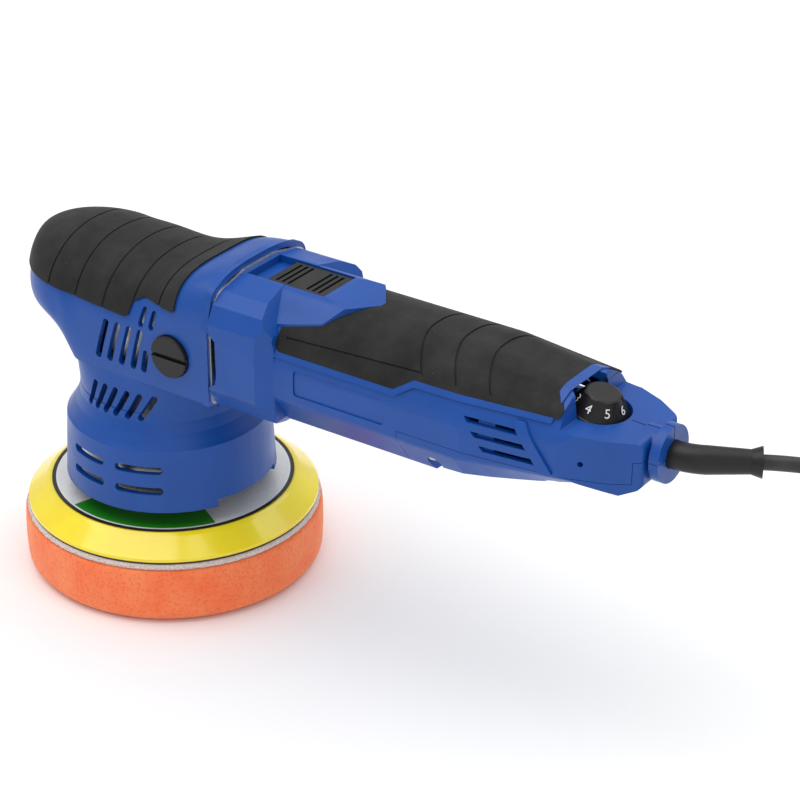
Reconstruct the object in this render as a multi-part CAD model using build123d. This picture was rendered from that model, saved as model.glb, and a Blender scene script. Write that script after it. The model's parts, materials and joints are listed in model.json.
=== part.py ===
from build123d import *
import math
import os

os.makedirs("parts", exist_ok=True)

# Dual action polisher for 125 mm pads. Millimetres, +Z up.
# The origin lies on the drive spindle's axis, in the plane of the foam pad's work face.
# +X runs back along the body to the cord, and the body is symmetric about Y = 0.

# ------------------------------------------------------------------ driving sizes

# Pad stack, from the work face up
pad_dia = 129.0
foam_height = 25.2
foam_edge_round = 6.0
loop_dia = 128.0
loop_thickness = 2.6
hook_dia = 124.0
hook_thickness = 1.2
plate_dia = 125.0
plate_rim = 1.4
plate_height = 8.6
plate_flat_dia = 105.8
label_thickness = 0.3
label_bore_dia = 44.0
insert_dia = 22.0

# Orbit: the pad's axis stands off the drive axis, at this heading when at rest
orbit_offset = 4.0
orbit_heading = 125.0

# Body
plate_to_motor_axis = 80.5
skirt_gap = 7.1
wall = 2.5
head_half = 34.0
nose_reach = 62.4
flange_x = 50.3
flange_gap = 1.0
block_half = 35.4
block_rear_x = 76.0
barrel_half = 31.0
barrel_top = 31.0
barrel_drop = 20.0
crown_radius = 27.0
rear_taper_x = 165.0
hood_x = 206.0
body_end_x = 236.5
cover_front_x = 139.0
grip_proud = 0.9
grip_seat = 1.0

# Drive train
shaft_dia = 12.0
pinion_teeth = 12
crown_teeth = 36
gear_module = 1.2222
running_gap = 0.05
motor_rise = 4.5
air_gap = 0.6
core_dia = 34.0
core_front_x = 96.0
core_length = 44.0
commutator_dia = 24.0
fan_dia = 46.0

# Controls
button_length = 28.6
button_half = 10.4
button_rear_x = 90.4
button_travel = 8.0
button_gap = 0.3
dial_rim_dia = 23.4
dial_top_dia = 14.4
dial_height = 7.4
dial_tilt = 12.0
dial_x = 210.0

# Side handle sockets
socket_x = 31.0
socket_dia = 18.0
socket_thread_dia = 10.0

# Mains cord
cord_dia = 6.0
guard_dia = 11.0
collar_dia = 23.0
coil_mean_dia = 66.0
coil_turns = 8
pin_dia = 4.8
pin_spacing = 19.0
pin_length = 19.0

# ------------------------------------------------------------------ levels that follow

loop_z = foam_height
hook_z = loop_z + loop_thickness
plate_z = hook_z + hook_thickness
plate_top = plate_z + plate_height
axis_z = plate_top + plate_to_motor_axis
skirt_z = plate_top + skirt_gap
motor_z = axis_z + motor_rise
seam_z = axis_z - 17.0
ridge_z = axis_z - 45.6
offset_x = orbit_offset * math.cos(math.radians(orbit_heading))
offset_y = orbit_offset * math.sin(math.radians(orbit_heading))


# ------------------------------------------------------------------ shape helpers

def keep(name, shape):
    """Write one named piece."""
    shape.label = name
    export_step(shape, f"parts/{name}.step")


def loop_of(corners, place):
    """Closed outline from (a, b, radius) corners, put into 3-D by place(a, b)."""
    points = [place(a, b) for a, b, _ in corners]
    radii = [radius for _, _, radius in corners]
    return make_face(FilletPolyline(*points, radius=radii, close=True))


def side_prism(corners, y0, y1):
    """Outline in X and height above the motor axis, run across from y0 to y1."""
    face = loop_of(corners, lambda x, h: (x, y0, axis_z + h))
    return extrude(face, amount=y1 - y0, dir=(0, 1, 0))


def plan_prism(corners, z0, z1):
    """Outline in X and Y, run up from z0 to z1."""
    face = loop_of(corners, lambda x, y: (x, y, z0))
    return extrude(face, amount=z1 - z0, dir=(0, 0, 1))


def end_prism(corners, x0, x1):
    """Outline in Y and height above the motor axis, run back from x0 to x1."""
    face = loop_of(corners, lambda y, h: (x0, y, axis_z + h))
    return extrude(face, amount=x1 - x0, dir=(1, 0, 0))


def mirrored(half):
    """Closed outline symmetric about the first coordinate, from its positive half."""
    other = [(-a, b, radius) for a, b, radius in reversed(half)]
    return half + other


def box(x0, x1, y0, y1, z0, z1):
    centre = Pos((x0 + x1) / 2, (y0 + y1) / 2, (z0 + z1) / 2)
    return centre * Box(x1 - x0, y1 - y0, z1 - z0)


def post(dia, z0, z1, x=0.0, y=0.0):
    """Round bar along Z."""
    return Pos(x, y, (z0 + z1) / 2) * Cylinder(dia / 2, z1 - z0)


def bar(dia, x0, x1, y=0.0, z=motor_z):
    """Round bar along X."""
    return Pos((x0 + x1) / 2, y, z) * Rot(0, 90, 0) * Cylinder(dia / 2, x1 - x0)


def cross_bar(dia, y0, y1, x, z):
    """Round bar along Y."""
    return Pos(x, (y0 + y1) / 2, z) * Rot(90, 0, 0) * Cylinder(dia / 2, y1 - y0)


def turned(profile, x=0.0, y=0.0):
    """Solid of revolution about Z from (radius, z) points."""
    face = make_face(Polyline(*[(r, 0, z) for r, z in profile], close=True))
    return Pos(x, y, 0) * revolve(face, Axis.Z)


def slot_cutter(x0, h0, x1, h1, width, y0, y1):
    """Round-ended slot from (x0, h0) to (x1, h1), cut across from y0 to y1."""
    length = math.hypot(x1 - x0, h1 - h0)
    lean = math.degrees(math.atan2(h1 - h0, x1 - x0))
    depth = y1 - y0
    middle = Pos((x0 + x1) / 2, (y0 + y1) / 2, axis_z + (h0 + h1) / 2) * Rot(0, -lean, 0)
    cutter = middle * Box(length, depth, width)
    for end in (-length / 2, length / 2):
        cutter += middle * Pos(end, 0, 0) * Rot(90, 0, 0) * Cylinder(width / 2, depth)
    return cutter


def oval(centre, half_side, reach_low, reach_high, power_low, power_high, place):
    """Closed smooth outline whose lower and upper halves are superellipses."""
    count = 28
    points = []
    for step in range(count):
        turn = 2 * math.pi * step / count
        side, rise = math.cos(turn), math.sin(turn)
        power = power_high if rise >= 0 else power_low
        reach = reach_high if rise >= 0 else reach_low
        a = math.copysign(abs(side) ** (2 / power), side) * half_side
        b = centre + math.copysign(abs(rise) ** (2 / power), rise) * reach
        points.append(place(a, b))
    return make_face(Spline(*points, periodic=True))


# ------------------------------------------------------------------ head cover

def nose_station(angle, scale, half):
    """Section of the round nose: x, half width, widest level, reach down, reach up."""
    turn = math.radians(angle)
    slim = math.cos(turn)
    widest = 12.5 - 9.5 * slim
    top = 12.5 + 19.3 * slim ** 0.5
    bottom = 12.5 - 23.5 * slim
    x = head_half - nose_reach - half * math.sin(turn)
    return x, half * slim, widest, (widest - bottom) * scale, (top - widest) * scale


def head_body(inset):
    """Head form from the round nose back to the flange, inset all round."""
    half = head_half - inset
    scale = half / head_half
    faces = []
    for angle in (84, 77, 68, 56, 41, 22):
        x, side, widest, down, up = nose_station(angle, scale, half)
        place = lambda a, b, x=x: (x, a, b)
        faces.append(oval(axis_z + widest, side, down, up, 2.0, 2.15, place))
    straight = [
        (-28.0, 31.7, 25.0, 2.6), (-12, 31.4, 36.0, 5.0), (4, 30.6, 36.0, 5.0),
        (20, 30.8, 36.0, 5.0), (33, 33.6, 36.0, 5.0), (41, 35.8, 36.0, 5.0),
        (flange_x, 37.2, 36.0, 5.0),
    ]
    for x, top, low, full in straight:
        boxy = 2.15 + 1.5 * min(max((x - 14.0) / 18.0, 0.0), 1.0)
        place = lambda a, b, x=x: (x, a, b)
        faces.append(oval(axis_z + 3, half, low * scale, (top - 3) * scale, full, boxy, place))
    form = loft(faces)
    return form & box(-nose_reach - 5, flange_x + 1, -60, 60, seam_z, axis_z + 60)


grip_on_head = [
    (-80, 15.5, 0), (-35, 13.5, 0), (8.5, 10.8, 2), (9.8, 17.5, 2), (15, 20.5, 4),
    (33, 19.5, 1), (33, 60, 0), (-80, 60, 0),
]
head_outer = head_body(0)
head_seat = head_body(grip_seat)
head_cavity = head_body(wall) + bar(46, flange_x - 4, flange_x + 1)
head_cavity += box(-20, 30, -29, 29, seam_z - 1, seam_z + 4)
grip_zone = side_prism(grip_on_head, -60, 60)
head_lip = end_prism(
    mirrored([(34.6, -17.0, 0), (34.4, 16, 4), (30.0, 32.2, 7), (10, 37.4, 30)]),
    flange_x - 3.0, flange_x,
)

# Side handle sockets: a raised boss each side, bored for a brass insert
boss_reach = head_half + 2.6


def socket_boss(side):
    rim = socket_dia / 2 + 2.3
    foot = rim + 2.2
    profile = [(0, 0), (foot, 0), (foot, 5.4), (rim, 8.0), (0, 8.0)]
    form = turned(profile)
    return Pos(socket_x, side * (boss_reach - 8.0), axis_z) * Rot(-90 * side, 0, 0) * form


head_cover = head_outer + head_lip
for side in (-1, 1):
    head_cover += socket_boss(side)
head_cover -= head_cavity
seat_depth = 3.2
insert_length = 9.0
insert_dia_brass = 15.0
for side in (-1, 1):
    y_face = side * boss_reach
    y_seat = side * (boss_reach - seat_depth)
    y_back = side * (boss_reach - seat_depth - insert_length)
    ring = cross_bar(insert_dia_brass + 5, min(y_seat, y_back), max(y_seat, y_back), socket_x, axis_z)
    head_cover += ring
    y_out = side * (boss_reach + 1)
    head_cover -= cross_bar(socket_dia + 0.6, min(y_seat, y_out), max(y_seat, y_out), socket_x, axis_z)
    y_in = side * (boss_reach - seat_depth - insert_length - 1)
    head_cover -= cross_bar(insert_dia_brass, min(y_seat, y_in), max(y_seat, y_in), socket_x, axis_z)

# Cooling slots: five leaning ones, and two short ones above them
slot_width = 3.0
low_slots = [(-7.6, -2.9), (-1.6, 3.2), (4.7, 9.3), (10.9, 15.1)]
for x_low, x_high in low_slots:
    head_cover -= slot_cutter(x_low, -10.2, x_high, 5.5, slot_width, -60, 60)
head_cover -= slot_cutter(16.4, -10.2, 18.0, -2.8, slot_width, -60, 60)
for x_low, x_high in [(15.4, 16.6), (20.9, 22.1)]:
    head_cover -= slot_cutter(x_low, 9.6, x_high, 15.6, slot_width - 0.4, -60, 60)

head_cover -= grip_zone & (head_body(-3) - head_seat)

# Four screws run along the body through the flange joint
flange_screws_at = [(27.6, 19.5), (27.6, -9.5)]
flange_screw_dia = 4.0
screw_clearance = 0.1
flange_head_x = 42.0
head_bosses = []
for y, h in flange_screws_at:
    for side in (-1, 1):
        head_bosses.append(bar(9.0, flange_head_x, flange_x, side * y, axis_z + h))
head_cover += Compound(head_bosses) & head_body(0.5)
for y, h in flange_screws_at:
    for side in (-1, 1):
        head_cover -= bar(flange_screw_dia + screw_clearance, flange_head_x - 1, flange_x + 1,
                          side * y, axis_z + h)
        head_cover -= bar(7.6, flange_head_x - 3.2, flange_head_x, side * y, axis_z + h)
keep("head_cover", head_cover)

# Rubber over the head, with shallow hoops
head_grip = grip_zone & (head_body(-grip_proud) - head_seat)
hoop_width = 0.9
hoop_depth = 0.5
hoop_floor = head_body(hoop_depth - grip_proud)
for x in (-35, -20, -5, 9.5, 24):
    head_grip -= box(x, x + hoop_width, -60, 60, axis_z, axis_z + 60) - hoop_floor
keep("head_grip", head_grip)


# ------------------------------------------------------------------ skirt

def skirt_body(inset):
    """Neck that blends from the head's flat sides into the round skirt."""
    neck_z = axis_z - 31.5
    round_half = 36.8 - inset
    top_oval = oval(1.0, 33.6 - inset, 34.0 - inset, 35.0 - inset, 3.2, 3.2,
                    lambda a, b: (b, a, seam_z))
    mid_oval = oval(0.5, 34.9 - inset, 35.0 - inset, 35.5 - inset, 2.5, 2.5,
                    lambda a, b: (b, a, seam_z - 7.5))
    root_half = round_half - 0.2
    low_oval = oval(0.0, root_half, root_half, root_half, 2.0, 2.0,
                    lambda a, b: (b, a, neck_z - 2.0))
    neck = loft([low_oval, mid_oval, top_oval])
    bell = turned([
        (0, neck_z), (round_half, neck_z), (37.3 - inset, neck_z - 3.5),
        (39.2 - inset, ridge_z + 6.0), (42.0 - inset, ridge_z + 1.6),
        (43.2 - inset, ridge_z), (44.8 - inset, skirt_z), (0, skirt_z),
    ])
    return neck + bell


skirt = skirt_body(0)
inner = skirt_body(wall)
skirt -= inner

# Short leaning slots round the neck
neck_slots = [(-13.0, -10.2), (-8.0, -4.6), (-2.9, 1.0), (2.4, 7.0), (8.2, 13.0), (13.8, 19.2)]
for x_low, x_high in neck_slots:
    skirt -= slot_cutter(x_low, -33.4, x_high, -24.2, slot_width - 0.3, -60, 60)


def band_slot(a0, a1, z, height):
    """Level round-ended slot through the skirt's band, from angle a0 to a1."""
    face = make_face(Polyline((38, 0, z - height / 2), (50, 0, z - height / 2),
                              (50, 0, z + height / 2), (38, 0, z + height / 2), close=True))
    cutter = Rot(0, 0, a0) * revolve(face, Axis.Z, a1 - a0)
    for angle in (a0, a1):
        cutter += Rot(0, 0, angle) * Pos(44, 0, z) * Rot(0, 90, 0) * Cylinder(height / 2, 12)
    return cutter


for level in (-54.2, -63.6):
    for a0, a1 in [(-113, -92), (-80, -57), (57, 80), (92, 113)]:
        skirt -= band_slot(a0, a1, axis_z + level, 3.4)

# The rear of the lower edge stands a little higher
step_face = make_face(Polyline((36, 0, skirt_z - 1), (50, 0, skirt_z - 1),
                               (50, 0, skirt_z + 3), (36, 0, skirt_z + 3), close=True))
skirt -= Rot(0, 0, -25) * revolve(step_face, Axis.Z, 50)
keep("skirt", skirt)

# ------------------------------------------------------------------ motor housing


def barrel(grow):
    """Handle form behind the front block, grown outwards all round."""
    low = barrel_drop + grow
    side = barrel_half + grow
    high = barrel_top + grow
    end_x = body_end_x + grow
    hood = hood_x + grow
    crown = crown_radius + grow
    facet = crown * math.tan(math.radians(15))
    diagonal = crown / math.cos(math.radians(15)) * math.sqrt(0.5)
    hub_y, hub_h = side - crown, high - crown
    soft = crown - 0.5
    full = mirrored([
        (20 + grow / 2, -low, 4), (side, -5, 6), (side, hub_h + facet, soft),
        (hub_y + diagonal, hub_h + diagonal, soft), (hub_y + facet, high, soft),
    ])
    slim = mirrored([
        (14 + grow / 2, -8.5 - grow, 4), (25.5 + grow, -2.5, 5), (25.5 + grow, 13 + grow / 2, 8),
        (20.5 + grow, 21.5 + grow / 2, 6), (9.5 + grow / 2, 26.0 + grow, 4),
    ])
    tail_x = 212.0
    ends = [
        loop_of(full, lambda y, h: (rear_taper_x, y, axis_z + h)),
        loop_of(slim, lambda y, h: (tail_x, y, axis_z + h)),
    ]
    form = end_prism(full, 60, rear_taper_x) + loft(ends, ruled=True)
    form += end_prism(slim, tail_x, 250)
    profile = side_prism([
        (59, -low - 3, 0), (138, -low - 1, 6), (149, -low - 1, 8), (154, -low + 3.6, 6),
        (176, -low + 5.6, 10), (209, -9.5 - grow, 10), (226, -8.0 - grow, 8),
        (end_x, -4.0 - grow, 3), (end_x, 15.0 + grow, 3), (hood + 1.5, 16.5 + grow, 0.4),
        (hood, 25.0 + grow, 1.5), (200, 27.4 + grow, 8), (188, 30.4 + grow, 20),
        (172, high + 0.2, 20), (59, high + 0.2, 0),
    ], -80, 80)
    plan = plan_prism(mirrored_plan([
        (59, side, 0), (186, side - 0.4, 20), (206, 26.5 + grow, 14), (225, 20.0 + grow, 12),
        (end_x, 13.0 + grow, 4),
    ]), axis_z - 80, axis_z + 80)
    return form & profile & plan


def mirrored_plan(half):
    """Closed plan outline from its +Y half, listed from front to back."""
    other = [(x, -y, radius) for x, y, radius in reversed(half)]
    return half + other


def block(grow, x0):
    """Faceted front block that meets the head's flange."""
    side = block_half + grow
    outline = end_prism(mirrored([
        (18, -22.5 - grow, 6), (30, -17.5 - grow, 6), (side, -8, 6), (side, 13, 3),
        (side - 0.6, 20.5, 2), (31 + grow, 27.5 + grow / 2, 2), (24, 31.2 + grow, 3),
        (12, 33.7 + grow, 6),
    ]), x0, 92)
    plan = plan_prism(mirrored_plan([
        (x0 - 1, 60, 0), (block_rear_x - 2 + grow, 60, 0), (block_rear_x - 2 + grow, side + 0.3, 2),
        (block_rear_x + 4.5 + grow, barrel_half - 0.6 + grow, 1),
    ]), axis_z - 80, axis_z + 80)
    shoulder = side_prism([
        (x0 - 1, -30, 0), (71 + grow, -30, 3), (block_rear_x + 4.5 + grow, -17, 0),
        (block_rear_x + 4.5 + grow, 20, 0), (block_rear_x - 7 + grow, 38, 0), (x0 - 1, 38, 0),
    ], -80, 80)
    return outline & plan & shoulder


def tongue(grow):
    """Raised blue tongue that carries the slide button and ends in a point."""
    outline = end_prism(mirrored([
        (19, 12, 0), (26 + grow, 23.0 + grow, 2), (12.5, 33.7 + grow, 8),
    ]), block_rear_x - 4, 112)
    plan = plan_prism(mirrored_plan([
        (block_rear_x - 4, 26, 0), (84, 23.5, 2), (97, 20.5, 4), (105, 11.0, 20), (111.5, 1.5, 1),
    ]), axis_z, axis_z + 60)
    fall = side_prism([
        (block_rear_x - 5, 0, 0), (112.5, 0, 0), (112.5, 31.8 + grow, 0), (92, 33.8 + grow, 30),
        (block_rear_x - 5, 33.8 + grow, 0),
    ], -60, 60)
    return outline & plan & fall


collar_h = 7.0
collar_x = body_end_x + 1.5
block_front_x = flange_x + flange_gap

barrel_outer = barrel(0)
barrel_inner = barrel(-0.5)
shell = barrel_outer + block(0, block_front_x) + tongue(0)
neck_dia = collar_dia - 5
shell += bar(neck_dia, body_end_x - 6, collar_x, z=axis_z + collar_h)
shell += bar(collar_dia, collar_x, collar_x + 4, z=axis_z + collar_h)

grip_on_barrel = [
    (80, 15, 3), (136.5, 15, 2), (144.5, 20, 3), (206.5, 20.5, 1), (206.5, 22.5, 0.5), (200.5, 26.5, 0),
    (200.5, 60, 0), (80, 60, 0),
]
lip_outline = [
    (77.6, 12.6, 4), (137.4, 12.6, 2), (145.3, 17.6, 3), (204, 18.4, 1), (204, 29, 0), (77.6, 29, 0),
]
barrel_grip_zone = side_prism(grip_on_barrel, -60, 60)
lip_zone = side_prism(lip_outline, -60, 60)
shell += (lip_zone - barrel_grip_zone) & (barrel(0.8) - barrel_inner)

# Slanted rib behind the vents
rib_zone = side_prism([(189, 17, 1), (194, 17, 1), (207, -2, 1), (201.5, -2, 1)], -60, 60)
shell += rib_zone & (barrel(1.1) - barrel_inner)

# Shallow side panels
panel_zone = side_prism([(90, -1.5, 1.5), (133, -1.5, 1.5), (133, 9.5, 1.5), (90, 9.5, 1.5)], -60, 60)
shell -= panel_zone & (barrel(2) - barrel(-0.6))

# Speed dial well under the hood, on its leaning axis
dial_place = Pos(dial_x, 0, axis_z + 16.6) * Rot(0, dial_tilt, 0)
well_dia = dial_rim_dia + 1.4
well_depth = 3.6
well_boss = dial_place * Pos(0, 0, -4.2) * Cylinder(well_dia / 2 + 2, 6)
barrel_cavity = barrel(-wall)
block_cavity = block(-wall, block_front_x - 1)
shell_cavity = barrel_cavity + block_cavity - (well_boss & barrel_inner)

# Pocket for the slide button and the window that its arm passes through
button_front_x = button_rear_x - button_length
pocket_front_x = button_front_x - button_travel - 0.8
pocket_floor = axis_z + 30.6
pocket = box(pocket_front_x, button_rear_x + button_gap, -button_half - button_gap,
             button_half + button_gap, pocket_floor, axis_z + 45)
arm_x = 83.0
arm_length = 5.0
arm_half = 2.0
window = box(arm_x - button_travel - button_gap, arm_x + arm_length + button_gap,
             -arm_half - button_gap, arm_half + button_gap, axis_z + 20, axis_z + 45)
pocket_tray = box(pocket_front_x - wall, button_rear_x + wall, -button_half - wall,
                  button_half + wall, pocket_floor - 2.2, pocket_floor + 1)
shell_cavity -= pocket_tray

shell -= shell_cavity
shell -= pocket + window
well_height = dial_height + well_depth + 1.2
dial_well = dial_place * Pos(0, 0, well_height / 2 - well_depth) * Cylinder(well_dia / 2, well_height)
shell -= dial_well
stem_dia = 6.0
shell -= dial_place * Pos(0, 0, -6) * Cylinder(stem_dia / 2 + 0.4, 12)

# Vents, outlet notch, cord bore and seam line
for x_front, h in [(168.4, 12.2), (172.0, 7.0), (175.6, 1.8)]:
    shell -= side_prism([(x_front, h + 1.1, 0), (x_front + 21.5, h + 1.1, 0),
                         (x_front + 23, h - 1.1, 0), (x_front + 1.8, h - 1.1, 0)], -60, 60)
notch = side_prism([
    (block_front_x - 1, 16.4, 0), (block_front_x, 16.4, 0), (55, 13.6, 0), (55.2, -1.5, 0),
    (54.6, -5.4, 0), (block_front_x, -7.6, 0), (block_front_x - 1, -7.6, 0),
], -60, 60)
shell -= notch
guard_bore = guard_dia + 0.3
flange_dia = guard_dia + 3.4
shell -= bar(guard_bore, body_end_x - 12, collar_x + 6, z=axis_z + collar_h)
shell -= bar(flange_dia + 0.4, collar_x - 3.2, collar_x - 0.8, z=axis_z + collar_h)
seam_line = box(dial_x + 14, collar_x + 5, -0.25, 0.25, axis_z + 13.0, axis_z + 40)
shell -= seam_line
for side in (-1, 1):
    shell -= cross_bar(2.2, side * 22 - 8, side * 22 + 8, 216, axis_z + 4.8)

seam_gap = 0.2
cover_zone = side_prism([
    (cover_front_x, -60, 0), (cover_front_x, -2, 0), (233.5, -2, 0), (233.5, collar_h, 0),
    (260, collar_h, 0), (260, -60, 0),
], -60, 60)
cover_zone_wide = side_prism([
    (cover_front_x - seam_gap, -60, 0), (cover_front_x - seam_gap, -2 + seam_gap, 0),
    (233.5 - seam_gap, -2 + seam_gap, 0), (233.5 - seam_gap, collar_h + seam_gap, 0),
    (260, collar_h + seam_gap, 0), (260, -60, 0),
], -60, 60)
barrel_seat = barrel(-grip_seat)
housing = shell - cover_zone_wide - (barrel_grip_zone & (barrel(4) - barrel_seat))
housing += tongue(0) - shell_cavity - pocket - window
cover = shell & cover_zone

# Inside the housing: fan baffle, stator rings, brush yoke, bearing saddle and screw bosses
core_rear_x = core_front_x + core_length
commutator_x = core_rear_x + 14
commutator_length = 15.0
brush_x = commutator_x + commutator_length / 2
brush_reach = 25.0
holder_half = 4.4
stator_r = 26.0
stator_flat = 20.6
rear_bearing_x = commutator_x + commutator_length + 5
rear_bearing_dia = 22.0
rear_bearing_width = 7.0
baffle_x = 72.0
baffle_width = 3.0
rod_bottom = axis_z + 26.5
rod_top = axis_z + 28.1


def bulkhead(x0, x1, h0, h1):
    """Wall across the handle's inside, rooted a little way into the shell."""
    return barrel_root & box(x0, x1, -60, 60, axis_z + h0, axis_z + h1)


barrel_root = barrel(-wall + 0.6)
rod_channel = box(60, 200, -3.2, 3.2, rod_bottom - 1.5, axis_z + 60)
baffle = bulkhead(baffle_x, baffle_x + baffle_width, -40, 40) & (barrel_cavity + barrel_root)
baffle -= bar(fan_dia - 8, baffle_x - 1, baffle_x + baffle_width + 1)
stator_form = bar(2 * stator_r, core_front_x, core_rear_x)
stator_form = stator_form & box(0, 200, -40, 40, motor_z - stator_flat, motor_z + stator_flat)
rings = bulkhead(core_front_x + 2, core_front_x + 6, -40, 40)
rings += bulkhead(core_rear_x - 8, core_rear_x - 4, -40, 40)
rings -= stator_form
yoke = bulkhead(brush_x - holder_half, brush_x + holder_half, -1.8, 14.0)
yoke -= box(brush_x - 9, brush_x + 9, -brush_reach, brush_reach, axis_z - 5, motor_z + 6)
yoke -= box(brush_x - 9, brush_x + 9, -17, 17, axis_z - 5, axis_z + 60)
saddle = bulkhead(rear_bearing_x, rear_bearing_x + rear_bearing_width, -40, 17.0)
saddle -= bar(rear_bearing_dia, rear_bearing_x - 1, rear_bearing_x + rear_bearing_width + 1)
cover_screw_dia = 3.5
cover_screws_at = [(152.5, 23.5, -12.0), (200.0, 15.0, -9.4)]
cover_screw_top = axis_z + 6.0
screw_head_height = 2.2
bosses = Part()
sinks = []
for x, y, h in cover_screws_at:
    for side in (-1, 1):
        bosses += post(7.4, axis_z - 30, axis_z + 9, x, side * y)
        bosses += box(x - 1.2, x + 1.2, min(side * y, side * 60), max(side * y, side * 60),
                      axis_z - 30, axis_z + 9)
        seat_z = axis_z + h + screw_head_height
        sinks.append(post(cover_screw_dia + screw_clearance, seat_z - 1, cover_screw_top, x, side * y))
        sinks.append(post(6.2, axis_z - 40, seat_z, x, side * y))
bosses = bosses & barrel_root
above_cover = saddle - cover_zone_wide
housing += (baffle + rings + yoke) - rod_channel - cover_zone_wide
housing += above_cover
housing += bosses - cover_zone_wide
cover += (saddle + bosses) & cover_zone
board_z = axis_z - 1.2
for x in (190.0, 226.0):
    for y in (-8.0, 8.0):
        cover += post(4.5, axis_z - 12, board_z, x, y) & barrel_root
for sink in sinks:
    housing -= sink
    cover -= sink
block_root = block(-wall + 0.6, block_front_x)
flange_bosses = []
for y, h in flange_screws_at:
    for side in (-1, 1):
        flange_bosses.append(bar(11.0, block_front_x, 66, side * y, axis_z + h))
housing += Compound(flange_bosses) & block_root
flange_screw_end = 63.0
for y, h in flange_screws_at:
    for side in (-1, 1):
        housing -= bar(flange_screw_dia + screw_clearance, block_front_x - 1, flange_screw_end + 0.5,
                       side * y, axis_z + h)
keep("motor_housing", housing)
keep("lower_cover", cover)
screws = []
for y, h in flange_screws_at:
    for side in (-1, 1):
        screw = bar(flange_screw_dia, flange_head_x - 1, flange_screw_end, side * y, axis_z + h)
        screw += bar(7.0, flange_head_x - 2.6, flange_head_x, side * y, axis_z + h)
        screws.append(screw - bar(3.0, flange_head_x - 3, flange_head_x - 1.2, side * y, axis_z + h))
keep("flange_screws", Compound(screws))
screws = []
for x, y, h in cover_screws_at:
    for side in (-1, 1):
        seat_z = axis_z + h + screw_head_height
        screw = post(cover_screw_dia, seat_z - 1, cover_screw_top - 0.5, x, side * y)
        screw += post(6.0, seat_z - screw_head_height, seat_z, x, side * y)
        screws.append(screw - post(2.4, seat_z - 3, seat_z - 1.2, x, side * y))
keep("cover_screws", Compound(screws))

# Rubber over the handle, with three curved steps and a long crease
motor_grip = barrel_grip_zone & (barrel(grip_proud) - barrel_seat) - tongue(0.15)
grip_skin = barrel(grip_proud + 1) - barrel(grip_proud - 0.6)
motor_grip -= dial_well
arc_radius = 38.0
for x in (137.0, 152.5, 168.0):
    ring = post(2 * arc_radius, axis_z, axis_z + 60, x=x + arc_radius)
    ring -= post(2 * arc_radius - 2.0, axis_z - 1, axis_z + 61, x=x + arc_radius)
    front_half = box(x - 1, x + 14, -60, 60, axis_z + 22.0, axis_z + 60)
    motor_grip -= ring & front_half & grip_skin
crease = side_prism([(84, 20.0, 0), (146, 22.3, 0), (146, 23.0, 0), (84, 20.7, 0)], -60, 60)
motor_grip -= crease & grip_skin
keep("motor_grip", motor_grip)

# ------------------------------------------------------------------ pad stack


def pad_disc(dia, z0, z1):
    return post(dia, z0, z1, x=offset_x, y=offset_y)


foam = pad_disc(pad_dia, 0, foam_height)
low_edge = foam.edges().filter_by(GeomType.CIRCLE).sort_by(Axis.Z)[0]
keep("foam_pad", fillet(low_edge, foam_edge_round))
keep("loop_layer", pad_disc(loop_dia, loop_z, hook_z))
keep("hook_layer", pad_disc(hook_dia, hook_z, plate_z))

flat_r = plate_flat_dia / 2
insert_r = insert_dia / 2
plate_bore_r = insert_r + 0.02
keep("backing_plate", turned([
    (plate_bore_r, plate_z), (plate_dia / 2, plate_z), (plate_dia / 2, plate_z + plate_rim),
    (flat_r + 1.5, plate_top - 0.8), (flat_r, plate_top), (plate_bore_r, plate_top),
], offset_x, offset_y))
label_ring = pad_disc(plate_flat_dia - 1.6, plate_top, plate_top + label_thickness)
keep("plate_label", label_ring - pad_disc(label_bore_dia, plate_top - 1, plate_top + 2))
stud_dia = 8.0
insert = pad_disc(insert_dia, plate_z, plate_top)
keep("plate_insert", insert - pad_disc(stud_dia + 0.1, plate_z + 1.5, plate_top + 1))

# ------------------------------------------------------------------ eccentric drive

hub_z0 = skirt_z + 1.6
bearing_width = 8.0
bearing_dia = 28.0
pad_shaft_r = shaft_dia / 2
hub_wall = 3.0
hub_z1 = hub_z0 + 2 * bearing_width + 1.0
cap_z1 = hub_z1 + 6.0
shoulder_z = hub_z0 - 0.4


def bearing(outer, bore, width):
    """Ball bearing with grooved faces, standing on Z = 0."""
    ring = Pos(0, 0, width / 2) * (Cylinder(outer / 2, width) - Cylinder(bore / 2, width))
    groove_out, groove_in = outer / 2 - 2.4, bore / 2 + 2.0
    for z in (0, width):
        ring -= Pos(0, 0, z) * (Cylinder(groove_out, 1.0) - Cylinder(groove_in, 1.0))
    return ring


keep("pad_spindle", pad_disc(stud_dia, plate_z + 2.0, plate_top + 0.1)
     + pad_disc(insert_dia - 1, plate_top, shoulder_z)
     + pad_disc(2 * pad_shaft_r, shoulder_z - 1, hub_z1 - 0.4))
hub_dia = bearing_dia + 2 * hub_wall
hub = pad_disc(hub_dia, hub_z0, cap_z1)
hub -= pad_disc(bearing_dia, hub_z0 - 1, hub_z1)
spindle_boss_dia = shaft_dia + 9
hub += post(spindle_boss_dia, hub_z1, cap_z1 + 2)
hub -= post(shaft_dia, hub_z1 + 1, cap_z1 + 5)
keep("eccentric_hub", hub)
for number, z in enumerate((hub_z0, hub_z0 + bearing_width + 1.0), 1):
    race = bearing(bearing_dia, shaft_dia + 2 * running_gap, bearing_width)
    keep(f"eccentric_bearing_{number}", Pos(offset_x, offset_y, z) * race)

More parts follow.
